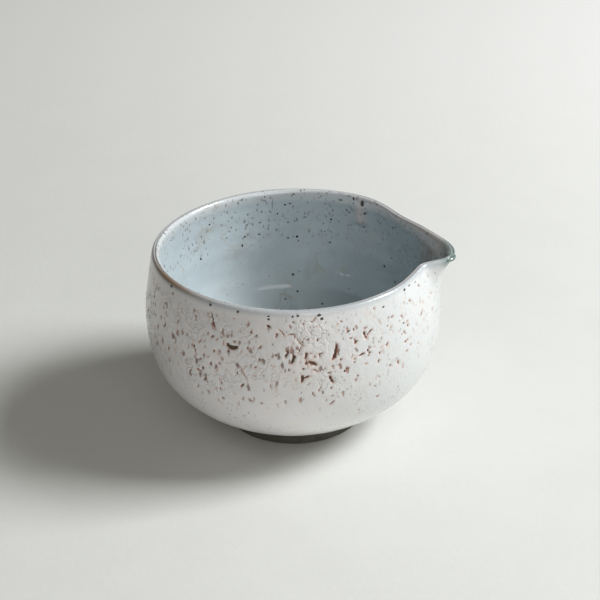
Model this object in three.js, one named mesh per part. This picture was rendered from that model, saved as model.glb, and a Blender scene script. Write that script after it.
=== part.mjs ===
// Tea pitcher: a low round stoneware bowl with one pinched pouring spout, on a bare turned foot ring.
// Millimetres, +Z up. The spout points to +X and the bowl is symmetric about the XZ plane.
import * as THREE from "three";
import { mergeVertices } from "three/addons/utils/BufferGeometryUtils.js";

// Bowl, measured on the clay
const body_radius = 58.8;        // widest outer radius of the wall
const belly_height = 46.3;       // height of the widest place
const lip_height = 75.0;         // top of the clay at the lip
const lip_radius = 53.9;         // middle of the lip
const lip_thickness = 2.1;
const lip_lean = 11.6;           // degrees that the wall leans in below the lip
const wall = 4.6;                // wall at the belly
const floor_thickness = 5.0;     // floor over the foot recess
const base_slope = 30;           // degrees that the wall climbs where it leaves the foot

// Foot ring
const foot_radius = 30.5;        // where it meets the body
const foot_height = 6.5;
const foot_wall = 5.6;
const foot_taper = 1.1;          // how much narrower the ring is at the table
const foot_edge = 0.8;           // worn edge on both sides of the resting face

// Pulled spout
const spout_reach = 9.6;         // how far the lip is pulled out
const spout_half_angle = 12.5;   // degrees from the middle to where the pull has mostly gone
const spout_depth = 27;          // how far down the wall the pull is felt
const spout_rise = 0.6;          // lift of the pouring edge
const pinch_depth = 1.5;         // dents of thumb and finger beside the spout
const pinch_angle = 36;
const pinch_half_angle = 14;
const pinch_dip = 1.2;           // how much the lip drops at the dents

// Glaze
const glaze_thickness = 0.5;
const glaze_stop = 0.14;         // share of the lower wall that is left bare above the foot
const glaze_wave = 0.018;        // the stop line wanders by this share

// Facets
const wall_steps = 14;           // rows up the outside, and again down the inside
const lip_steps = 6;
const round_steps = 54;          // columns away from the spout
const spout_steps = 24;          // columns across the spout and its dents

const rad = THREE.MathUtils.degToRad;
const bell = (x) => Math.exp(-x * x);
const clamp01 = (x) => Math.min(1, Math.max(0, x));

// Points of a cubic curve between two points with a handle at each.
function curve(a, ha, hb, b, steps) {
  const bezier = new THREE.CubicBezierCurve(a, a.clone().add(ha), b.clone().add(hb), b);
  return bezier.getPoints(steps);
}

// Section of the clay wall far from the spout: x is radius, y is height.
const v2 = (x, y) => new THREE.Vector2(x, y);
const lean = rad(lip_lean);
const lip_mid = v2(lip_radius, lip_height - lip_thickness / 2);
const along = v2(-Math.sin(lean), Math.cos(lean));
const across = v2(Math.cos(lean), Math.sin(lean)).multiplyScalar(lip_thickness / 2);
const upper = lip_height - belly_height;
const lower = belly_height - foot_height;
const inner_floor = foot_height + floor_thickness;
const inner_belly = v2(body_radius - wall, belly_height - wall / 2);

function section() {
  const climb = rad(base_slope);
  const base = v2(foot_radius, foot_height);
  const belly = v2(body_radius, belly_height);
  const swell = body_radius - foot_radius;
  const half = wall_steps / 2;
  const low = curve(base, v2(Math.cos(climb), Math.sin(climb)).multiplyScalar(0.54 * swell),
    v2(0, -0.65 * lower), belly, half);
  const high = curve(belly, v2(0, 0.27 * upper),
    along.clone().multiplyScalar(-0.55 * upper), lip_mid.clone().add(across), half);
  const lip = [];
  for (let i = 1; i < lip_steps; i++) {
    const turn = lean + Math.PI * i / lip_steps;
    lip.push(v2(Math.cos(turn), Math.sin(turn)).multiplyScalar(lip_thickness / 2).add(lip_mid));
  }
  const depth = inner_belly.y - inner_floor;
  const inside = curve(lip_mid.clone().sub(across), along.clone().multiplyScalar(-0.5 * upper),
    v2(0, 0.3 * upper), inner_belly, half);
  const bottom = curve(inner_belly, v2(0, -0.72 * depth),
    v2(0.6 * inner_belly.x, 0), v2(0, inner_floor), half);
  return { low, high, lip, inside, bottom };
}

// Columns round the bowl, closer together across the spout and its dents.
const spout_span = rad(pinch_angle + 2 * pinch_half_angle);
const columns = [];
for (let i = 0; i < spout_steps; i++) {
  columns.push(-spout_span + 2 * spout_span * i / spout_steps);
}
for (let i = 0; i < round_steps; i++) {
  columns.push(spout_span + (2 * Math.PI - 2 * spout_span) * i / round_steps);
}

// Moves a point of the plain section to its place round the bowl, with the spout pulled out.
function place(point, angle) {
  let turn = Math.atan2(Math.sin(angle), Math.cos(angle));
  const off = Math.abs(THREE.MathUtils.radToDeg(turn));
  const felt = clamp01((point.y - (lip_height - spout_depth)) / spout_depth);
  const dent = bell((off - pinch_angle) / pinch_half_angle);
  const pull = bell(off / spout_half_angle);
  const r = point.x + spout_reach * pull * felt ** 3 - pinch_depth * dent * felt ** 1.5;
  const z = point.y + (spout_rise * pull - pinch_dip * dent) * felt;
  return new THREE.Vector3(r * Math.cos(turn), r * Math.sin(turn), z);
}

const parts = section();
const wave = (a) => glaze_stop + glaze_wave * (Math.sin(3 * a + 0.6) + 0.6 * Math.cos(7 * a));

// Point at a share of the way along the lower wall.
function onLow(share) {
  const at = share * (parts.low.length - 1);
  const i = Math.min(parts.low.length - 2, Math.floor(at));
  return parts.low[i].clone().lerp(parts.low[i + 1], at - i);
}

// Rows of the clay surface: up the outside, over the lip, down to the middle of the floor.
const row = (points) => columns.map((a) => place(points(a), a));
const rows = [row(() => parts.low[0])];
const glaze_from = rows.length;
const low_rows = wall_steps / 2;
for (let i = 0; i < low_rows; i++) {
  rows.push(row((a) => onLow(wave(a) + (1 - wave(a)) * i / low_rows)));
}
for (const p of parts.high) rows.push(row(() => p));
for (const p of parts.lip) rows.push(row(() => p));
const crest = rows.length - Math.ceil(parts.lip.length / 2);
for (const p of parts.inside) rows.push(row(() => p));
for (const p of parts.bottom.slice(1)) rows.push(row(() => p));

// Outward direction of the clay surface at one grid point.
function outward(i, j) {
  const n = columns.length;
  if (i === rows.length - 1) return new THREE.Vector3(0, 0, 1);
  const round = rows[i][(j + 1) % n].clone().sub(rows[i][(j + n - 1) % n]);
  const up = rows[Math.min(i + 1, rows.length - 1)][j].clone().sub(rows[Math.max(i - 1, 0)][j]);
  return round.cross(up).normalize();
}

// Closed solid from a list of rows; each row is a ring of points and rings may shrink to one point.
// From row "turned" on, the facets are split the other way, so that a coat fits the clay's facets.
function solid(rings, joined, turned = Infinity) {
  const flat = [];
  const count = joined ? rings.length : rings.length - 1;
  const n = rings[0].length;
  const add = (a, b, c) => {
    if (a.distanceTo(b) < 1e-6 || b.distanceTo(c) < 1e-6 || c.distanceTo(a) < 1e-6) return;
    for (const p of [a, b, c]) flat.push(p.x, p.y, p.z);
  };
  for (let i = 0; i < count; i++) {
    const here = rings[i];
    const next = rings[(i + 1) % rings.length];
    for (let j = 0; j < n; j++) {
      const k = (j + 1) % n;
      if (i < turned) {
        add(here[j], here[k], next[k]);
        add(here[j], next[k], next[j]);
      } else {
        add(here[j], here[k], next[j]);
        add(here[k], next[k], next[j]);
      }
    }
  }
  const geometry = new THREE.BufferGeometry();
  geometry.setAttribute("position", new THREE.Float32BufferAttribute(flat, 3));
  return mergeVertices(geometry, 1e-5);
}

// A coat of glaze over the clay rows from one row to another.
function coat(from, to) {
  const under = rows.slice(from, to + 1);
  const over = under.map((ring, i) => ring.map((p, j) =>
    p.clone().addScaledVector(outward(from + i, j), glaze_thickness)));
  return solid([...over, ...under.reverse()], true, over.length);
}

const group = new THREE.Group();
function add(name, geometry, colour, roughness) {
  geometry.computeVertexNormals();
  const material = new THREE.MeshStandardMaterial({ color: colour, roughness, metalness: 0 });
  const mesh = new THREE.Mesh(geometry, material);
  mesh.name = name;
  group.add(mesh);
}

// Clay body: the rows closed by a flat base at the height of the foot ring.
const base_middle = columns.map(() => new THREE.Vector3(0, 0, foot_height));
add("stoneware_body", solid([base_middle, ...rows], false), 0x8a6b55, 0.9);

// Foot ring: tapered outside, worn edges, flat resting face, straight inside.
const ring_section = [
  [foot_radius, foot_height],
  [foot_radius - foot_wall, foot_height],
  [foot_radius - foot_wall, foot_edge],
  [foot_radius - foot_wall + foot_edge, 0],
  [foot_radius - foot_taper - foot_edge, 0],
  [foot_radius - foot_taper, foot_edge],
];
add("foot_ring", solid(ring_section.map(([r, z]) =>
  columns.map((a) => new THREE.Vector3(r * Math.cos(a), r * Math.sin(a), z))), true), 0x2b2820, 0.85);

add("outer_glaze", coat(glaze_from, crest), 0xdfe3e1, 0.25);
add("inner_glaze", coat(crest, rows.length - 1), 0xc9d3d8, 0.2);

// The middle of the overall length goes to x = 0.
group.updateMatrixWorld(true);
const box = new THREE.Box3().setFromObject(group);
const middle = (box.min.x + box.max.x) / 2;
for (const mesh of group.children) mesh.geometry.translate(-middle, 0, 0);

export default group;
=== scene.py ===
import math

import bpy
import numpy as np
from mathutils import Matrix, Vector


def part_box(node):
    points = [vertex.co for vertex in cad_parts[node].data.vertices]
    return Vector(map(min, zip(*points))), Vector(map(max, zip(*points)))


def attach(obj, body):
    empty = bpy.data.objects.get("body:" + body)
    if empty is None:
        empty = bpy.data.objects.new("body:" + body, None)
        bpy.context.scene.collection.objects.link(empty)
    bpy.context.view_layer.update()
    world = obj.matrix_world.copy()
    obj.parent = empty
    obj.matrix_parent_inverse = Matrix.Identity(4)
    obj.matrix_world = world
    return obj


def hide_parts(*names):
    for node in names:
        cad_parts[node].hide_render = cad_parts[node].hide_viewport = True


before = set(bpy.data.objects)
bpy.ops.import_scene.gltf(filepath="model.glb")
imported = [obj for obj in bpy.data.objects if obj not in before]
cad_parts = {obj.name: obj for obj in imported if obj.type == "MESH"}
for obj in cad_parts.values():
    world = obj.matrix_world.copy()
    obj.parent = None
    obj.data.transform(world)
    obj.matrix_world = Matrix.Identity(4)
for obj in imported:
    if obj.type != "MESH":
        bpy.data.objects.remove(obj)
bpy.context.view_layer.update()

# Clay body: a pot thrown in dark stoneware, its lip rolled over and its spout pulled out between
# two fingers. Both coats of glaze lie on it, and below their edge the fired clay is bare.
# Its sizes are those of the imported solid, in millimetres and degrees.
MM = 0.001
BODY_RADIUS, BELLY_HEIGHT, WALL, FLOOR_HEIGHT = 58.8, 46.3, 4.6, 11.5
LIP_RADIUS, LIP_HEIGHT, LIP_THICKNESS, LIP_LEAN = 53.9, 75.0, 2.1, math.radians(11.6)
BASE_RADIUS, BASE_HEIGHT, BASE_SLOPE = 30.5, 6.5, math.radians(30)
# The bowl's axis stands a little behind the middle of the overall length.
foot_low, foot_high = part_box("foot_ring")
AXIS_X = (foot_low[0] + foot_high[0]) / 2
# The real spout is pulled a little to the front: its front flank is steep, its back flank slow.
SPOUT_REACH, SPOUT_RISE, SPOUT_DEPTH, SPOUT_SIDE = 9.8, 0.6, 27, -2.0
BACK_FLANK, FRONT_FLANK, FRONT_STEEPNESS, FRONT_END = 17.0, 8.5, 0.8, 14
DENT_DEPTH, DENT_DIP = 1.5, 1.2
DENTS = ((40, 14, 1.0), (-22, 11, 0.9))             # side, half width, share
PULL_FADE, DENT_FADE = 3, 1.5                       # how fast each fades down the wall
LIP_WAVES = ((0.35, 2, 0.4), (0.22, 3, 2.2))        # rise, waves round the bowl, start
COLUMNS = 640
CURVE_STEPS, SECTION_POINTS = 60, 1200
CLAY_ROWS, CLAY_END = 130, 0.999
FIRED_BROWN, SCORCHED, GRIT = (0.10, 0.07, 0.048), (0.05, 0.04, 0.03), (0.20, 0.13, 0.09)


def bell(x):
    return np.exp(-x * x)


def curve(a, b, c, d, t):
    """Cubic curve from a to d, with its handles at b and c."""
    t = t[:, None]
    a, b, c, d = map(np.array, (a, b, c, d))
    return (1 - t) ** 3 * a + 3 * (1 - t) ** 2 * t * b + 3 * (1 - t) * t * t * c + t ** 3 * d


def wall_section(steps):
    """Points from the foot up the outside, over the lip and down to the middle of the floor.
    Each share is how far a curve holds the direction that it starts or ends with."""
    t = np.linspace(0, 1, steps)
    along = np.array([-math.sin(LIP_LEAN), math.cos(LIP_LEAN)])
    across = np.array([math.cos(LIP_LEAN), math.sin(LIP_LEAN)]) * LIP_THICKNESS / 2
    lip = np.array([LIP_RADIUS, LIP_HEIGHT - LIP_THICKNESS / 2])
    upper, lower = LIP_HEIGHT - BELLY_HEIGHT, BELLY_HEIGHT - BASE_HEIGHT
    swell = BODY_RADIUS - BASE_RADIUS
    climb = np.array([math.cos(BASE_SLOPE), math.sin(BASE_SLOPE)]) * 0.54 * swell
    base, belly = np.array([BASE_RADIUS, BASE_HEIGHT]), np.array([BODY_RADIUS, BELLY_HEIGHT])
    inner = np.array([BODY_RADIUS - WALL, BELLY_HEIGHT - WALL / 2])
    deep = inner[1] - FLOOR_HEIGHT
    low = curve(base, base + climb, belly - [0, 0.65 * lower], belly, t)
    outer_lip, inner_lip = lip + across, lip - across
    high = curve(belly, belly + [0, 0.27 * upper], outer_lip - along * 0.55 * upper, outer_lip, t)
    turn = LIP_LEAN + math.pi * np.linspace(0, 1, steps // 3)
    roll = lip + np.stack([np.cos(turn), np.sin(turn)], 1) * LIP_THICKNESS / 2
    inside = curve(inner_lip, inner_lip - along * 0.5 * upper, inner + [0, 0.3 * upper], inner, t)
    floor_handle, floor_middle = [0.6 * inner[0], FLOOR_HEIGHT], [0, FLOOR_HEIGHT]
    bottom = curve(inner, inner - [0, 0.72 * deep], floor_handle, floor_middle, t)
    return np.concatenate([low, high[1:], roll[1:], inside[1:], bottom[1:]])


def resample(points, count, start=0.0, end=1.0):
    """Even spacing along a section, from one share of its length to another."""
    run = np.concatenate([[0], np.cumsum(np.hypot(*np.diff(points, axis=0).T))])
    at = np.linspace(start, end, count) * run[-1]
    return np.stack([np.interp(at, run, points[:, 0]), np.interp(at, run, points[:, 1])], 1)


def place(radius, height, angle):
    """Where a point of the plain section stands on the pot, with the spout pulled, the dents
    pressed in beside it and the lip as uneven as a hand leaves it."""
    side = np.degrees(np.arctan2(np.sin(angle), np.cos(angle)))
    off = side - SPOUT_SIDE
    felt = np.clip((height - (LIP_HEIGHT - SPOUT_DEPTH)) / SPOUT_DEPTH, 0, 1)
    front = bell((off / FRONT_FLANK) ** 2 * FRONT_STEEPNESS + np.abs(off) / FRONT_END)
    pull = np.where(off > 0, bell(off / BACK_FLANK), front)
    dent = sum(share * bell((side - at) / wide) for at, wide, share in DENTS)
    reach = radius + SPOUT_REACH * pull * felt ** PULL_FADE - DENT_DEPTH * dent * felt ** DENT_FADE
    wave = sum(rise * np.sin(turns * angle + start) for rise, turns, start in LIP_WAVES)
    lifted = height + (SPOUT_RISE * pull - DENT_DIP * dent + wave) * felt
    return np.stack([reach * np.cos(angle), reach * np.sin(angle), lifted], -1)


def middle_of(ring):
    """The ring drawn in to its own middle, which closes a shell."""
    return ring * 0 + ring.mean(axis=1, keepdims=True)


def shell_of_rings(name, rings, finish, marks=None):
    """A skin of quads from ring to ring; marks are kept per point for the finish to read."""
    rows, columns = rings.shape[:2]
    points = rings.reshape(-1, 3) * MM + np.array([AXIS_X, 0, 0])
    i, j = np.meshgrid(np.arange(rows - 1), np.arange(columns), indexing="ij")
    k = (j + 1) % columns
    here, above = i * columns, (i + 1) * columns
    quads = np.stack([here + j, here + k, above + k, above + j], -1).reshape(-1, 4)
    mesh = bpy.data.meshes.new(name)
    mesh.vertices.add(len(points))
    mesh.vertices.foreach_set("co", points.ravel())
    mesh.loops.add(quads.size)
    mesh.loops.foreach_set("vertex_index", quads.ravel())
    mesh.polygons.add(len(quads))
    mesh.polygons.foreach_set("loop_start", np.arange(0, quads.size, 4))
    for mark, values in (marks or {}).items():
        layer = mesh.attributes.new(mark, "FLOAT", "POINT")
        layer.data.foreach_set("value", values.ravel().astype(np.float32))
    mesh.update(calc_edges=True)
    mesh.validate()
    mesh.shade_smooth()
    mesh.materials.append(finish.material)
    piece = bpy.data.objects.new(name, mesh)
    bpy.context.scene.collection.objects.link(piece)
    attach(piece, "root")
    return piece


class Recipe:
    """Short ways to lay and link the nodes of one finish or of one shared effect."""

    def __init__(self, tree):
        self.tree = tree

    def node(self, kind, **values):
        made = self.tree.nodes.new(kind)
        for key, value in values.items():
            if key in made.inputs:
                self.feed(made.inputs[key], value)
            else:
                setattr(made, key, value)
        return made

    def feed(self, socket, value):
        """Links a socket to another node's output, or sets it to a number or a colour."""
        if isinstance(value, bpy.types.NodeSocket):
            self.tree.links.new(value, socket)
        elif isinstance(value, tuple) and socket.type == "RGBA":
            socket.default_value = (*value, 1.0)
        else:
            socket.default_value = value

    def work_out(self, operation, *values):
        made = self.node("ShaderNodeMath", operation=operation)
        for socket, value in zip(made.inputs, values):
            self.feed(socket, value)
        return made.outputs[0]

    def times(self, a, b):
        return self.work_out("MULTIPLY", a, b)

    def plus(self, a, b):
        return self.work_out("ADD", a, b)

    def ramp(self, value, low, high, start=0.0, end=1.0):
        """Soft change from start to end while the value goes from low to high."""
        made = self.node("ShaderNodeMapRange", interpolation_type="SMOOTHSTEP", Value=value)
        limits = {"From Min": low, "From Max": high, "To Min": start, "To Max": end}
        for key, number in limits.items():
            self.feed(made.inputs[key], number)
        return made.outputs["Result"]

    def in_frame(self):
        """The surface point in the object's own frame."""
        return self.node("ShaderNodeTexCoord").outputs["Object"]


class Effect(Recipe):
    """A node group that several finishes share: named numbers go in, one mask comes out."""

    def __init__(self, name, given, result):
        self.group = bpy.data.node_groups.new(name, "ShaderNodeTree")
        for key in given:
            self.group.interface.new_socket(key, in_out="INPUT", socket_type="NodeSocketFloat")
        self.group.interface.new_socket(result, in_out="OUTPUT", socket_type="NodeSocketFloat")
        super().__init__(self.group)
        self.given = self.node("NodeGroupInput").outputs
        self.result = self.node("NodeGroupOutput").inputs[result]


class Finish(Recipe):
    """A material whose recipe ends in one Principled shader."""

    def __init__(self, name):
        self.material = bpy.data.materials.new(name)
        self.material.use_nodes = True
        super().__init__(self.material.node_tree)
        self.shader = self.tree.nodes["Principled BSDF"].inputs

    def use(self, effect, **values):
        made = self.node("ShaderNodeGroup", node_tree=effect.group)
        for key, value in values.items():
            made.inputs[key].default_value = value
        return made.outputs[0]

    def cloud(self, scale, detail=4.0, roughness=0.55):
        return self.use(clouding, Scale=scale, Detail=detail, Roughness=roughness)

    def spots(self, scale, core, edge, upright=1.0):
        return self.use(scattered_spots, Scale=scale, Core=core, Edge=edge, Upright=upright)

    def at(self, axis):
        split = self.node("ShaderNodeSeparateXYZ", Vector=self.in_frame())
        return split.outputs[axis]

    def mark(self, name):
        return self.node("ShaderNodeAttribute", attribute_name=name).outputs["Fac"]

    def mix(self, share, first, second):
        made = self.node("ShaderNodeMix", data_type="RGBA")
        colours = [socket for socket in made.inputs if socket.type == "RGBA"]
        for socket, value in zip((made.inputs["Factor"], *colours), (share, first, second)):
            self.feed(socket, value)
        return next(socket for socket in made.outputs if socket.type == "RGBA")

    def bump(self, height, depth, strength):
        made = self.node("ShaderNodeBump", Strength=strength, Distance=depth, Height=height)
        self.feed(self.shader["Normal"], made.outputs["Normal"])


# Slow unevenness through the clay and the glaze.
clouding = Effect("slow_clouding", ("Scale", "Detail", "Roughness"), "Cloud")
given = clouding.given
noise = clouding.node("ShaderNodeTexNoise", Vector=clouding.in_frame(), Scale=given["Scale"],
                      Detail=given["Detail"], Roughness=given["Roughness"])
clouding.feed(clouding.result, noise.outputs["Fac"])

# Scattered grit, pinholes and specks: 1 in the middle of each spot and 0 outside its edge. Under
# 1, Upright makes them tall, and a fine noise moves their outlines out of round.
scattered_spots = Effect("scattered_spots", ("Scale", "Core", "Edge", "Upright"), "Spots")
UNEVEN_SCALE, UNEVEN_PUSH = 1.3, 0.55
given = scattered_spots.given
point = scattered_spots.in_frame()
stretch = scattered_spots.node("ShaderNodeCombineXYZ", X=1.0, Y=1.0, Z=given["Upright"])
stretched = scattered_spots.node("ShaderNodeMapping", Vector=point, Scale=stretch.outputs[0])
uneven = scattered_spots.node("ShaderNodeTexNoise", Vector=point, Detail=2.0,
                              Scale=scattered_spots.times(given["Scale"], UNEVEN_SCALE))
push = scattered_spots.node("ShaderNodeVectorMath", operation="SCALE",
                            Scale=scattered_spots.work_out("DIVIDE", UNEVEN_PUSH, given["Scale"]))
scattered_spots.feed(push.inputs[0], uneven.outputs["Color"])
moved = scattered_spots.node("ShaderNodeVectorMath", operation="ADD")
scattered_spots.feed(moved.inputs[0], stretched.outputs["Vector"])
scattered_spots.feed(moved.inputs[1], push.outputs["Vector"])
cells = scattered_spots.node("ShaderNodeTexVoronoi", Vector=moved.outputs["Vector"],
                             Scale=given["Scale"])
spots = scattered_spots.ramp(cells.outputs["Distance"], given["Core"], given["Edge"], 1.0, 0.0)
scattered_spots.feed(scattered_spots.result, spots)

look = Finish("bare_stoneware")
body = look.mix(look.cloud(90, 5), FIRED_BROWN, SCORCHED)
body = look.mix(look.times(look.spots(900, 0.1, 0.3), 0.6), body, GRIT)
look.feed(look.shader["Base Color"], body)
look.feed(look.shader["Roughness"], look.ramp(look.cloud(160), 0.3, 0.7, 0.6, 0.85))
look.bump(look.cloud(900, 5), depth=0.0003, strength=0.7)

angle = np.linspace(-math.pi, math.pi, COLUMNS, endpoint=False)[None, :]
section = resample(wall_section(CURVE_STEPS), SECTION_POINTS)
clay = resample(section, CLAY_ROWS, 0.0, CLAY_END)
clay_rings = place(clay[:, :1], clay[:, 1:], angle[:, ::2])
flat_base = clay_rings[:1] * np.array([0.0, 0.0, 1.0])
clay_shell = np.concatenate([flat_base, clay_rings, middle_of(clay_rings[-1:])])
clay_piece = shell_of_rings("thrown_clay_wall", clay_shell, look)
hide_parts("stoneware_body")

# Foot ring: cut on the wheel from the same dark clay once the pot was leather-hard, with the
# marks of the turning tool left on its sides and its resting face worn by the table.
FOOT_COLUMNS, FOOT_ROWS = 480, 64
RING_OUTLINE = (                                    # radius, height
    (24.9, BASE_HEIGHT), (24.85, 3.5), (24.9, 0.9), (25.2, 0.25), (25.8, 0.0), (28.4, 0.0),
    (29.0, 0.22), (29.35, 0.9), (29.75, 3.2), (30.3, 5.7), (BASE_RADIUS, BASE_HEIGHT),
)
RING_MIDDLE = 27.5
TOOL_MARK, TOOL_PITCH, CHATTER = 0.09, 5.2, 0.07    # depth, waves per mm, depth
WORN_TOP, WORN_BOTTOM = 0.0011, 0.0002
FOOT_GREY, FOOT_DARK = (0.105, 0.10, 0.078), (0.05, 0.05, 0.04)
FOOT_RUBBED, FOOT_GRIT = (0.12, 0.095, 0.07), (0.15, 0.12, 0.09)


def smooth(x):
    x = np.clip(x, 0, 1)
    return x * x * (3 - 2 * x)


def wander(angle, height, waves, seed):
    """Slow uneven change over the wall, about -1 to 1, closed round the bowl. Each wave has its
    turns round the bowl, its change per millimetre of height and its share."""
    draw = np.random.default_rng(seed)
    total = np.zeros(np.broadcast(angle, height).shape)
    for turns, per_mm, share in waves:
        total = total + share * np.sin(turns * angle + per_mm * height + draw.uniform(0, 6.28))
    return total


ring = resample(np.array(RING_OUTLINE), FOOT_ROWS)
foot_angle = np.linspace(-math.pi, math.pi, FOOT_COLUMNS, endpoint=False)[None, :]
radius, height = ring[:, :1], ring[:, 1:]
sides = smooth(height / 1.2) * (1 - smooth((height - 5.4) / 1.0))
chatter = wander(foot_angle, height, [(11, 0.6, 0.5), (23, -1.1, 0.4), (41, 2.0, 0.3)], 5)
tool_lines = TOOL_MARK * np.sin(height * TOOL_PITCH + 0.8 * np.sin(foot_angle))
cut = tool_lines + CHATTER * chatter
radius = radius + sides * cut * np.sign(radius - RING_MIDDLE)
foot_rings = np.stack([radius * np.cos(foot_angle), radius * np.sin(foot_angle),
                       height + 0 * foot_angle], -1)

look = Finish("dark_foot_clay")
body = look.mix(look.cloud(120, 6), FOOT_GREY, FOOT_DARK)
worn = look.times(look.ramp(look.at("Z"), WORN_TOP, WORN_BOTTOM), 0.6)
body = look.mix(worn, body, FOOT_RUBBED)
body = look.mix(look.times(look.spots(1000, 0.1, 0.3), 0.5), body, FOOT_GRIT)
look.feed(look.shader["Base Color"], body)
look.feed(look.shader["Roughness"], look.ramp(look.cloud(200), 0.3, 0.7, 0.6, 0.9))
look.bump(look.cloud(1100, 5), depth=0.00025, strength=0.7)
foot_piece = shell_of_rings("turned_foot_ring", foot_rings, look)
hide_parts("foot_ring")

# Outer glaze: a thick white feldspar glaze from a wandering edge above the foot to the crest of
# the lip. It crawled as it melted, so short tears and pinholes show the iron-brown clay, mostly
# in a belt round the belly, and the lip is worn to brown on the left.
GLAZE_THICKNESS, GLAZE_UNDER = 0.5, 0.35            # over the clay, and sunk into it
OUTER_ROWS, OUTER_START = 150, 0.06
EDGE_WANDER, EDGE_TOP, EDGE_FADE = 0.5, 8.5, 6
EDGE_WAVES = [(3, 0, 1), (7, 0, 0.6), (13, 0, 0.4)]
SWELL_WAVES = [(5, 0.11, 0.5), (9, -0.17, 0.4), (17, 0.3, 0.25), (31, -0.5, 0.15)]
SWELL, THROWING_DEPTH, THROWING_PITCH = 0.06, 0.025, 0.95
BELT_FOOT, BELT_HEAD = 33, 66
TEAR_DEPTH, TEAR_EDGE, TEAR_SLOPE = 0.62, 0.25, 0.5
ROLL_RISE, ROLL_EDGE, ROLL_WIDTH = 0.16, 0.16, 0.09  # glaze drawn up beside each tear
THIN_EDGE, EDGE_ROUNDING = 0.15, 1.6                # where the coat stops above the foot
ARC = 57.0                                          # millimetres round the wall for one radian
# The tears that stand out: place round the bowl in degrees, height, length, width, lean in
# degrees, bend, depth.
LARGE_TEARS = (
    (-104, 59.6, 5.0, 1.7, -8, 0.9, 1.0), (-65.5, 58.6, 7.2, 1.3, 74, 0.35, 0.9),
    (-81, 57.3, 5.0, 1.2, 80, 0.6, 0.8), (-74, 55.3, 3.8, 1.4, -28, -0.3, 0.8),
    (-78, 49.0, 3.6, 1.1, 86, 0.1, 0.9), (-67.5, 47.6, 4.4, 1.1, -68, 0.3, 0.8),
    (-76.4, 58.4, 3.2, 1.1, 80, 0.2, 0.75), (-71.5, 58.2, 2.8, 0.8, 100, 0.3, 0.6),
    (-53.5, 62.6, 4.4, 1.0, -72, 0.3, 0.75), (-57.5, 61.0, 2.0, 1.0, 40, 0.0, 0.75),
    (-55.5, 55.4, 3.2, 0.9, 14, 0.3, 0.75), (-78.5, 63.6, 6.4, 0.7, -52, 0.4, 0.6),
    (-99.5, 50.2, 7.4, 0.6, -62, 0.1, 0.6), (-85, 67.6, 5.0, 0.7, -50, -0.4, 0.6),
    (-39, 46.4, 2.6, 1.0, 100, 0.2, 0.7), (-90, 69.6, 2.0, 1.0, -30, 0.1, 0.8),
    (-112.5, 68.4, 7.4, 0.6, -68, 0.1, 0.8), (-120, 54.7, 5.4, 0.6, -70, 0.1, 0.7),
    (-108, 64.7, 3.8, 0.7, -75, 0.6, 0.7),
)
SMALL_TEARS = 900
TEAR_FRONT = 85                                     # degrees to the front, where most of them are
TEAR_HEIGHT, TEAR_SPREAD, TEAR_LOWEST, TEAR_HIGHEST = 57, 9.5, 18, 72
# Iron specks on the front of the lip: place round the bowl, height, size.
LIP_SPECKS = (
    (-136, 74.3, 1.7), (-114, 74.4, 1.2), (-102, 74.4, 1.1), (-90, 74.2, 1.2), (-90, 73.0, 1.2),
    (-81, 74.4, 1.1), (-79, 74.5, 1.1), (-71, 74.3, 1.6), (-70, 72.9, 1.4), (-44, 71.8, 1.2),
    (-31, 74.0, 1.5), (-27, 74.3, 1.3), (-22, 73.6, 1.1), (-60, 66.5, 1.0), (-35, 62.0, 1.0),
)
SPECK_DROP, SPECK_SHAPE = 0.7, 0.6
WORN_SIDE, WORN_SPREAD, WORN_HEIGHT, WORN_FADE = -2.45, 19, 73.3, 1.2
# Where each stain and the painted shade begin and where they are full, in metres up the pot or
# along it to the spout.
ON_BELT_FOOT, ON_BELT_HEAD, BELT_RIGHT = (0.030, 0.044), (0.0735, 0.068), (0.018, 0.042)
SHADED_ALONG, RIM_HIGH = (0.0, 0.045), (0.0722, 0.0747)
TIP_ALONG, TIP_HIGH = (0.0560, 0.0595), (0.070, 0.073)
MILK, SNOW, BLUSH = (0.675, 0.66, 0.665), (0.785, 0.77, 0.768), (0.74, 0.66, 0.60)
SHADED_WHITE, TEAR_HALO = (0.585, 0.62, 0.62), (0.70, 0.545, 0.46)
RUST, DARK_RUST, CREASE_GREY = (0.30, 0.095, 0.05), (0.12, 0.055, 0.04), (0.46, 0.38, 0.33)
TICK_STAIN, FINE_BROWN = (0.62, 0.40, 0.27), (0.26, 0.19, 0.16)
IRON_RED, IRON_BLACK = (0.27, 0.085, 0.045), (0.06, 0.026, 0.018)
RIM_GREY, TIP_TEAL = (0.42, 0.47, 0.50), (0.12, 0.23, 0.21)
WORN_BROWN, SPECK_BLACK = (0.27, 0.165, 0.08), (0.025, 0.014, 0.01)


def outward(rings):
    """Direction out of the surface at each point of the rings."""
    round_the_pot = np.roll(rings, -1, 1) - np.roll(rings, 1, 1)
    direction = np.cross(round_the_pot, np.gradient(rings, axis=0))
    return direction / np.maximum(np.linalg.norm(direction, axis=-1, keepdims=True), 1e-9)


def turned_from(start):
    """How far each column stands round the bowl from a start, in radians."""
    return np.arctan2(np.sin(angle - start), np.cos(angle - start))


def tear(pits, heights, where, height, length, width, lean, bend, depth):
    """The pits with one more short curved tear; sizes in mm, where and lean in degrees."""
    x, y = turned_from(math.radians(where)) * ARC, heights - height
    c, s = math.cos(math.radians(lean)), math.sin(math.radians(lean))
    along, across = x * c + y * s, -x * s + y * c
    across = across - bend * along * along / max(length, 0.1)
    shape = bell((along / (length / 2)) ** 2) * bell((across / (width / 2)) ** 2)
    return np.maximum(pits, shape * depth)


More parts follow.
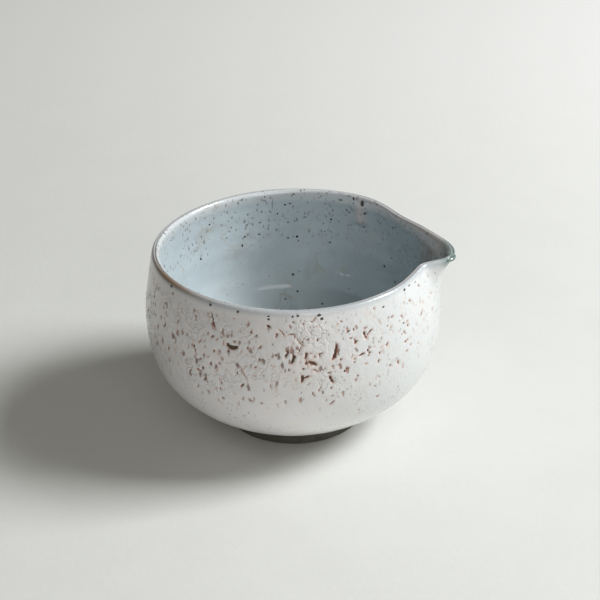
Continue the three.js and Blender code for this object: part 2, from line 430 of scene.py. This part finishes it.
def coat(name, base, lift, finish, marks, reaches_floor=False):
    """A coat that stands off the clay by its lift. Its edges turn under into the clay, apart from
    the end of one that reaches the floor, which closes on the floor's middle."""
    off = outward(base)
    front = base + off * lift[..., None]
    under = base - off * GLAZE_UNDER
    last = middle_of(front[-1:]) if reaches_floor else under[-1:]
    shell = np.concatenate([under[:1], front, last])
    marks = {mark: np.concatenate([v[:1], v, v[-1:]]) for mark, v in marks.items()}
    return shell_of_rings(name, shell, finish, marks)


lip_at = int(np.argmax(section[:, 1]))
outer = resample(section[: lip_at + 1], OUTER_ROWS, OUTER_START, 1.0)
radius, height = outer[:, :1], outer[:, 1:]
near_edge = 1 - smooth((height - EDGE_TOP) / EDGE_FADE)
edge_height = height + EDGE_WANDER * near_edge * wander(angle, 0 * height, EDGE_WAVES, 3)
belt = smooth((height - BELT_FOOT) / 9) * (1 - smooth((height - BELT_HEAD) / 6))

rng = np.random.default_rng(7)
pits = np.zeros(np.broadcast(angle, height).shape)
for one in LARGE_TEARS:
    pits = tear(pits, height, *one)
for _ in range(SMALL_TEARS):
    where, at = rng.uniform(-180, 180), rng.normal(TEAR_HEIGHT, TEAR_SPREAD)
    near = 0.5 + 0.5 * math.cos(math.radians(where + TEAR_FRONT))
    if not TEAR_LOWEST <= at <= TEAR_HIGHEST or rng.uniform() > 0.25 + 0.75 * near ** 1.5:
        continue
    shortest, longest = (1.6, 3.6) if rng.uniform() < 0.3 else (0.8, 1.5)
    length, width = rng.uniform(shortest, longest), rng.uniform(0.5, 0.95)
    lean, bend, depth = rng.normal(80, 40), rng.uniform(-0.6, 0.6), rng.uniform(0.3, 0.85)
    pits = tear(pits, height, where, at, length, width, lean, bend, depth)
pits = np.clip(pits, 0, 1)
specks = np.zeros(pits.shape)
for where, at, size in LIP_SPECKS:
    specks = tear(specks, height, where, at - SPECK_DROP, size, SPECK_SHAPE * size, 0, 0, 1.0)
worn = bell(turned_from(WORN_SIDE) * ARC / WORN_SPREAD)
worn = worn * smooth((height - WORN_HEIGHT) / WORN_FADE)

throwing_lines = THROWING_DEPTH * np.sin(height * THROWING_PITCH + 0.5 * np.sin(angle)) * belt
lift = GLAZE_THICKNESS + SWELL * wander(angle, height, SWELL_WAVES, 11) + throwing_lines
lift = lift - TEAR_DEPTH * smooth((pits - TEAR_EDGE) / TEAR_SLOPE)
lift = lift + ROLL_RISE * bell((pits - ROLL_EDGE) / ROLL_WIDTH)
full = smooth((height - outer[0, 1]) / EDGE_ROUNDING)
lift = lift * (THIN_EDGE + (1 - THIN_EDGE) * full)

# Fine wandering lines in the glaze, where its skin drew together as it crawled: they lie where a
# slow noise passes its middle.
glaze_creases = Effect("glaze_creases", ("Scale", "Width"), "Lines")
given = glaze_creases.given
noise = glaze_creases.node("ShaderNodeTexNoise", Vector=glaze_creases.in_frame(), Detail=2.0,
                           Roughness=0.55, Scale=given["Scale"])
off_middle = glaze_creases.work_out("SUBTRACT", noise.outputs["Fac"], 0.5)
off_middle = glaze_creases.work_out("ABSOLUTE", off_middle)
lines = glaze_creases.ramp(off_middle, 0.0, given["Width"], 1.0, 0.0)
glaze_creases.feed(glaze_creases.result, lines)

look = Finish("white_shino_glaze")
high, along = look.at("Z"), look.at("X")
on_belt = look.times(look.ramp(high, *ON_BELT_FOOT), look.ramp(high, *ON_BELT_HEAD))
on_belt = look.times(on_belt, look.ramp(along, *BELT_RIGHT, 1.0, 0.2))
white = look.mix(look.ramp(look.cloud(14, 3), 0.35, 0.65), MILK, SNOW)
white = look.mix(look.times(look.ramp(look.cloud(60, 5), 0.5, 0.72), 0.35), white, BLUSH)
# Painted shade: the white is darkened towards the spout side.
white = look.mix(look.times(look.ramp(along, *SHADED_ALONG), 0.7), white, SHADED_WHITE)
# Short upright ticks, more of them in the belt, and finer ones all over.
ticks = look.spots(360, 0.14, 0.32, upright=0.5)
ticks = look.times(ticks, look.ramp(look.cloud(150, 2), 0.41, 0.53))
ticks = look.times(ticks, look.ramp(on_belt, 0.0, 1.0, 0.12, 1.0))
fine = look.spots(620, 0.12, 0.24, upright=0.6)
fine = look.times(fine, look.ramp(look.cloud(85, 3), 0.50, 0.60))
creases = look.use(glaze_creases, Scale=260, Width=0.05)
creases = look.times(creases, look.ramp(look.cloud(70, 2), 0.46, 0.58))
creases = look.times(creases, look.ramp(on_belt, 0.0, 1.0, 0.15, 1.0))
white = look.mix(look.times(look.ramp(look.mark("pit"), 0.03, 0.3), 0.6), white, TEAR_HALO)
rust = look.mix(look.ramp(look.cloud(110, 3), 0.4, 0.6), RUST, DARK_RUST)
coloured = look.mix(look.times(creases, 0.10), white, CREASE_GREY)
coloured = look.mix(look.times(look.ramp(ticks, 0.0, 0.45), 0.22), coloured, TICK_STAIN)
coloured = look.mix(look.times(ticks, 0.75), coloured, rust)
coloured = look.mix(look.times(fine, 0.65), coloured, FINE_BROWN)
iron = look.mix(look.ramp(look.cloud(300, 4), 0.4, 0.65), IRON_RED, IRON_BLACK)
coloured = look.mix(look.ramp(look.mark("pit"), 0.3, 0.6), coloured, iron)
coloured = look.mix(look.times(look.ramp(high, *RIM_HIGH), 0.6), coloured, RIM_GREY)
tip = look.times(look.ramp(along, *TIP_ALONG), look.ramp(high, *TIP_HIGH))
coloured = look.mix(look.times(tip, 0.6), coloured, TIP_TEAL)
coloured = look.mix(look.times(look.mark("worn"), 0.85), coloured, WORN_BROWN)
coloured = look.mix(look.ramp(look.mark("speck"), 0.25, 0.6), coloured, SPECK_BLACK)
look.feed(look.shader["Base Color"], coloured)
look.feed(look.shader["Roughness"], look.ramp(look.mark("pit"), 0.2, 0.6, 0.24, 0.75))
look.shader["Coat Weight"].default_value = 0.3
look.shader["Coat Roughness"].default_value = 0.08
relief = look.plus(look.times(ticks, -1.0), look.times(creases, -0.55))
skin = look.times(look.cloud(230, 3), look.ramp(on_belt, 0, 1, 0.4, 1.5))
look.bump(look.plus(relief, skin), depth=0.00035, strength=0.9)

marks = {"pit": pits, "speck": np.clip(specks, 0, 1), "worn": np.broadcast_to(worn, pits.shape)}
outer_base = place(radius, edge_height, angle)
outer_piece = coat("crawled_outer_glaze", outer_base, lift, look, marks)
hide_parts("outer_glaze")

# Inner glaze: the same glaze over the inside, from the crest of the lip to the middle of the
# floor, bluish where it lies thick. It has pinholes under the lip, iron specks, a folded tongue
# behind the spout and a brown stain in it. Towards the spout side its wall is darkened to slate as
# painted shade.
INNER_ROWS, INNER_END = 148, 0.9985
INNER_SWELL = [(4, 0.13, 0.5), (7, -0.2, 0.4), (15, 0.33, 0.2)]
INNER_WAVE, RING_DEPTH, RING_PITCH = 0.05, 0.05, 0.8
RINGS_FOOT, RINGS_HEAD = 14, 70
PINHOLES, PIN_HEIGHT, PIN_SPREAD = 150, 64, 6
PIN_DEPTH, PIN_EDGE, PIN_SLOPE = 0.5, 0.3, 0.5
# A dark hole beside the tongue, a dash, a crack, and the tongue's edge, whose shade is painted in
# as a dark pit.
LARGE_MARKS = (
    (64, 73.0, 2.6, 1.5, 80, 0, 1.0), (76, 72.4, 3.0, 0.7, 10, 0, 0.9),
    (108, 69.0, 8.0, 0.5, 88, 0.05, 0.55), (70.5, 68.6, 8.0, 0.7, 57, 0.1, 0.6),
)
FOLD_SIDE, FOLD_ARC, FOLD_WIDTH, FOLD_RISE = 1.15, 50, 2.6, 0.9
FOLD_FOOT, FOLD_HEAD = 61, 72.5
# Where each stain and the painted shade begin and where they are full, in metres, as on the
# outside.
PAINTED_SHADE_ALONG, STAIN_ALONG = (-0.012, 0.022), (0.043, 0.052)
STAIN_HIGH, STAIN_ASIDE = (0.0725, 0.0705), (-0.004, 0.003)
MAUVE_ALONG, LIP_HIGH, TEAL_ALONG = (0.0, 0.05), (0.0690, 0.0722), (0.0545, 0.0585)
PINS_HIGH, SCRATCHES_HIGH = (0.044, 0.060), (0.040, 0.062)
PALE_BLUE, LIGHT_BLUE, PAINTED_SHADE_SLATE = (0.53, 0.61, 0.645), (0.65, 0.72, 0.745), (0.27, 0.335, 0.37)
FOLD_PINK, SOFT_STAIN, SPOUT_BROWN = (0.56, 0.48, 0.47), (0.42, 0.40, 0.36), (0.20, 0.125, 0.085)
LIP_WHITE, LIP_MAUVE, INNER_TEAL = (0.70, 0.72, 0.73), (0.58, 0.54, 0.53), (0.14, 0.24, 0.22)
PIT_BROWN, PIT_BLACK, PIN_GREY = (0.10, 0.07, 0.05), (0.02, 0.018, 0.016), (0.22, 0.22, 0.215)
SCRATCH_GREY, AMBER, IRON_DOT = (0.28, 0.27, 0.25), (0.42, 0.33, 0.22), (0.02, 0.016, 0.012)

inner = resample(section[lip_at:], INNER_ROWS, 0.0, INNER_END)
radius, height = inner[:, :1], inner[:, 1:]
pits = np.zeros(np.broadcast(angle, height).shape)
for _ in range(PINHOLES):
    where, at = rng.uniform(-180, 180), rng.normal(PIN_HEIGHT, PIN_SPREAD)
    length, width = rng.uniform(0.4, 1.3), rng.uniform(0.3, 0.8)
    lean, depth = rng.uniform(-80, 80), rng.uniform(0.5, 1)
    pits = tear(pits, height, where, at, length, width, lean, 0, depth)
for one in LARGE_MARKS:
    pits = tear(pits, height, *one)
pits = np.clip(pits, 0, 1)
fold = bell(turned_from(FOLD_SIDE) * FOLD_ARC / FOLD_WIDTH)
fold = fold * smooth((height - FOLD_FOOT) / 3) * (1 - smooth((height - FOLD_HEAD) / 2))
rings = RING_DEPTH * np.sin(height * RING_PITCH + 0.6 * np.sin(angle + 1))
rings = rings * smooth((height - RINGS_FOOT) / 6) * (1 - smooth((height - RINGS_HEAD) / 4))
lift = GLAZE_THICKNESS + INNER_WAVE * wander(angle, height, INNER_SWELL, 23) + rings
lift = lift - PIN_DEPTH * smooth((pits - PIN_EDGE) / PIN_SLOPE) + FOLD_RISE * fold

look = Finish("pale_blue_inner_glaze")
along, aside, high = look.at("X"), look.at("Y"), look.at("Z")
blue = look.mix(look.ramp(look.cloud(16, 3), 0.35, 0.65), PALE_BLUE, LIGHT_BLUE)
# Painted shade: the wall darkens to slate towards the spout side.
blue = look.mix(look.times(look.ramp(along, *PAINTED_SHADE_ALONG), 0.72), blue, PAINTED_SHADE_SLATE)
blue = look.mix(look.times(look.mark("fold"), 0.8), blue, FOLD_PINK)
blue = look.mix(look.times(look.ramp(look.cloud(45, 4), 0.56, 0.72), 0.4), blue, SOFT_STAIN)
stain = look.times(look.ramp(along, *STAIN_ALONG), 0.85)
stain = look.times(stain, look.ramp(look.cloud(160, 3), 0.3, 0.6))
stain = look.times(stain, look.ramp(high, *STAIN_HIGH, 0.25, 1.0))
stain = look.times(stain, look.ramp(aside, *STAIN_ASIDE, 0.3, 1.0))
blue = look.mix(stain, blue, SPOUT_BROWN)
rim = look.mix(look.ramp(along, *MAUVE_ALONG), LIP_WHITE, LIP_MAUVE)
blue = look.mix(look.times(look.ramp(high, *LIP_HIGH), 0.75), blue, rim)
blue = look.mix(look.times(look.ramp(along, *TEAL_ALONG), 0.6), blue, INNER_TEAL)
# Pits take iron colours; along the tongue's edge this dark is painted shade.
iron = look.mix(look.cloud(420, 4), PIT_BROWN, PIT_BLACK)
coloured = look.mix(look.ramp(look.mark("pit"), 0.25, 0.6), blue, iron)
pins = look.times(look.spots(540, 0.14, 0.3, upright=0.6), look.ramp(high, *PINS_HIGH))
pins = look.times(pins, look.ramp(look.cloud(90, 2), 0.33, 0.47))
coloured = look.mix(look.times(pins, 0.75), coloured, PIN_GREY)
scratches = look.spots(760, 0.12, 0.3, upright=0.35)
scratches = look.times(scratches, look.ramp(high, *SCRATCHES_HIGH))
scratches = look.times(scratches, look.ramp(look.cloud(120, 2), 0.42, 0.55))
coloured = look.mix(look.times(scratches, 0.5), coloured, SCRATCH_GREY)
amber = look.use(glaze_creases, Scale=60, Width=0.02)
amber = look.times(amber, look.ramp(look.cloud(40, 2), 0.52, 0.6))
coloured = look.mix(look.times(amber, 0.32), coloured, AMBER)
dots = look.times(look.spots(230, 0.10, 0.15), look.ramp(look.cloud(70, 2), 0.5, 0.56))
coloured = look.mix(dots, coloured, IRON_DOT)
look.feed(look.shader["Base Color"], coloured)
look.feed(look.shader["Roughness"], look.ramp(look.cloud(120, 3), 0.3, 0.7, 0.12, 0.3))
look.shader["Coat Weight"].default_value = 0.4
look.bump(look.plus(look.cloud(200, 3), look.times(pins, -0.8)), depth=0.0002, strength=0.6)

marks = {"pit": pits, "fold": np.broadcast_to(fold, pits.shape)}
inner_base = place(radius, height, angle)
inner_piece = coat("pooled_inner_glaze", inner_base, lift, look, marks, reaches_floor=True)
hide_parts("inner_glaze")

# Spout bead: glassy glaze that ran to the tip of the spout and set there as a flat drop. It is
# bound to the coat under it, and bent round the tip.
BEAD_REACH, BEAD_SIDE, BEAD_LIFT = 9.1, -3.2, 0.05
BEAD_DEPTH, BEAD_WIDTH, BEAD_HEIGHT, BEAD_BEND = 2.0, 4.2, 1.2, 0.075
BEAD_COLUMNS, BEAD_ROWS = 64, 40
BOTTLE_GREEN, SEA_GLASS = (0.09, 0.15, 0.14), (0.30, 0.36, 0.32)
look = Finish("glassy_spout_bead")
glass = look.mix(look.ramp(look.cloud(300, 3), 0.4, 0.65), BOTTLE_GREEN, SEA_GLASS)
look.feed(look.shader["Base Color"], glass)
look.feed(look.shader["Roughness"], look.ramp(look.cloud(200, 2), 0.3, 0.7, 0.06, 0.16))
look.shader["Coat Weight"].default_value = 0.8
turn = np.linspace(-math.pi, math.pi, BEAD_COLUMNS, endpoint=False)[None, :]
tilt = np.linspace(-math.pi / 2, math.pi / 2, BEAD_ROWS)[:, None]
forward = BEAD_DEPTH * np.cos(tilt) * np.cos(turn)
sideways = BEAD_WIDTH * np.cos(tilt) * np.sin(turn)
upward = BEAD_HEIGHT * np.sin(tilt) + 0 * turn
bead_rings = np.stack([LIP_RADIUS + BEAD_REACH + forward - BEAD_BEND * sideways ** 2,
                       sideways + BEAD_SIDE, LIP_HEIGHT + BEAD_LIFT + upward], -1)
bead = shell_of_rings("spout_glaze_bead", bead_rings, look)

# Floor: a table under pale linen cloth, whose weave is seen only faintly. It is painted paler away
# from the camera: painted light, for the far cloth that is lit more brightly.
FLOOR_SIZE, FLOOR_TOP, PAINTED_LIGHT_AWAY = 6, -0.0002, (0.02, 0.75)
LINEN_GREY, LINEN_PALE, LINEN_PAINTED_LIGHT = (0.74, 0.75, 0.72), (0.80, 0.81, 0.785), (0.97, 0.97, 0.955)
bpy.ops.mesh.primitive_plane_add(size=FLOOR_SIZE, location=(0, 0, FLOOR_TOP))
floor = bpy.context.active_object
floor.name = "linen_floor"
look = Finish("pale_linen")
cloth = look.mix(look.cloud(30, 5), LINEN_GREY, LINEN_PALE)
# Painted light: the cloth grows paler away from the camera.
cloth = look.mix(look.ramp(look.at("Y"), *PAINTED_LIGHT_AWAY), cloth, LINEN_PAINTED_LIGHT)
look.feed(look.shader["Base Color"], cloth)
look.shader["Roughness"].default_value = 0.95
look.bump(look.cloud(300, 6), depth=0.0004, strength=0.25)
floor.data.materials.append(look.material)

# Room: the weak, slightly warm light that the walls give back on every side. It keeps the
# shadow beside the pot from going black.
ROOM_COLOUR, ROOM_STRENGTH = (0.92, 0.90, 0.82, 1), 0.18
world = bpy.data.worlds.new("pale_room")
bpy.context.scene.world = world
world.use_nodes = True
world.node_tree.nodes["Background"].inputs["Color"].default_value = ROOM_COLOUR
world.node_tree.nodes["Background"].inputs["Strength"].default_value = ROOM_STRENGTH

# Lamps: a large soft window to the right and a little behind, and a weak fill from the front.
# Both point at the middle of the pot. Each has its place, size, power and colour.
POT_MIDDLE = Vector((0, 0, 0.04))
for name, spot, size, power, colour in (
    ("window_right", (1.19, 0.22, 1.07), 0.62, 28.5, (0.98, 0.99, 1.0)),
    ("fill_front", (0.55, -1.1, 0.45), 0.7, 3.5, (1.0, 0.97, 0.95)),
):
    light = bpy.data.lights.new(name, "AREA")
    light.size, light.energy, light.color = size, power, colour
    lamp = bpy.data.objects.new(name, light)
    lamp.location = spot
    lamp.rotation_euler = (POT_MIDDLE - lamp.location).to_track_quat("-Z", "Y").to_euler()
    bpy.context.scene.collection.objects.link(lamp)

# Camera: as the photograph was taken, about 28 degrees above the table, with the spout turned 9
# degrees towards it and the picture turned by 1 degree. Its distance and its shifts are in
# pixels of the photograph at the pot.
PHOTO_WIDTH, SENSOR, PIXELS_PER_MM = 600, 36, 2.45
PIXEL = 1 / PIXELS_PER_MM * MM
POT_PIXELS, DISTANCE, SHIFT_RIGHT, SHIFT_UP = 185.07, 1450, 6.94, 26.94
RAISED, TURNED, ROLLED = 0.494, math.radians(9), 0.019
camera_data = bpy.data.cameras.new("photo_camera")
camera = bpy.data.objects.new("photo_camera", camera_data)
bpy.context.scene.collection.objects.link(camera)
level = math.cos(RAISED)
away = Vector((math.sin(TURNED) * level, -math.cos(TURNED) * level, math.sin(RAISED)))
right = Vector((math.cos(TURNED), math.sin(TURNED), 0))
up = away.cross(right)
centre = Vector((AXIS_X, 0, POT_PIXELS / 2 * PIXEL))
shift = right * SHIFT_RIGHT * PIXEL + up * SHIFT_UP * PIXEL
camera.location = centre + away * DISTANCE * PIXEL + shift
facing = Matrix((right, up, away)).transposed()
camera.rotation_euler = (facing @ Matrix.Rotation(-ROLLED, 3, "Z")).to_euler()
camera_data.sensor_width = SENSOR
camera_data.lens = SENSOR * DISTANCE / PHOTO_WIDTH
camera_data.clip_start = 0.01
bpy.context.scene.camera = camera
bpy.context.scene.view_settings.view_transform = "Standard"
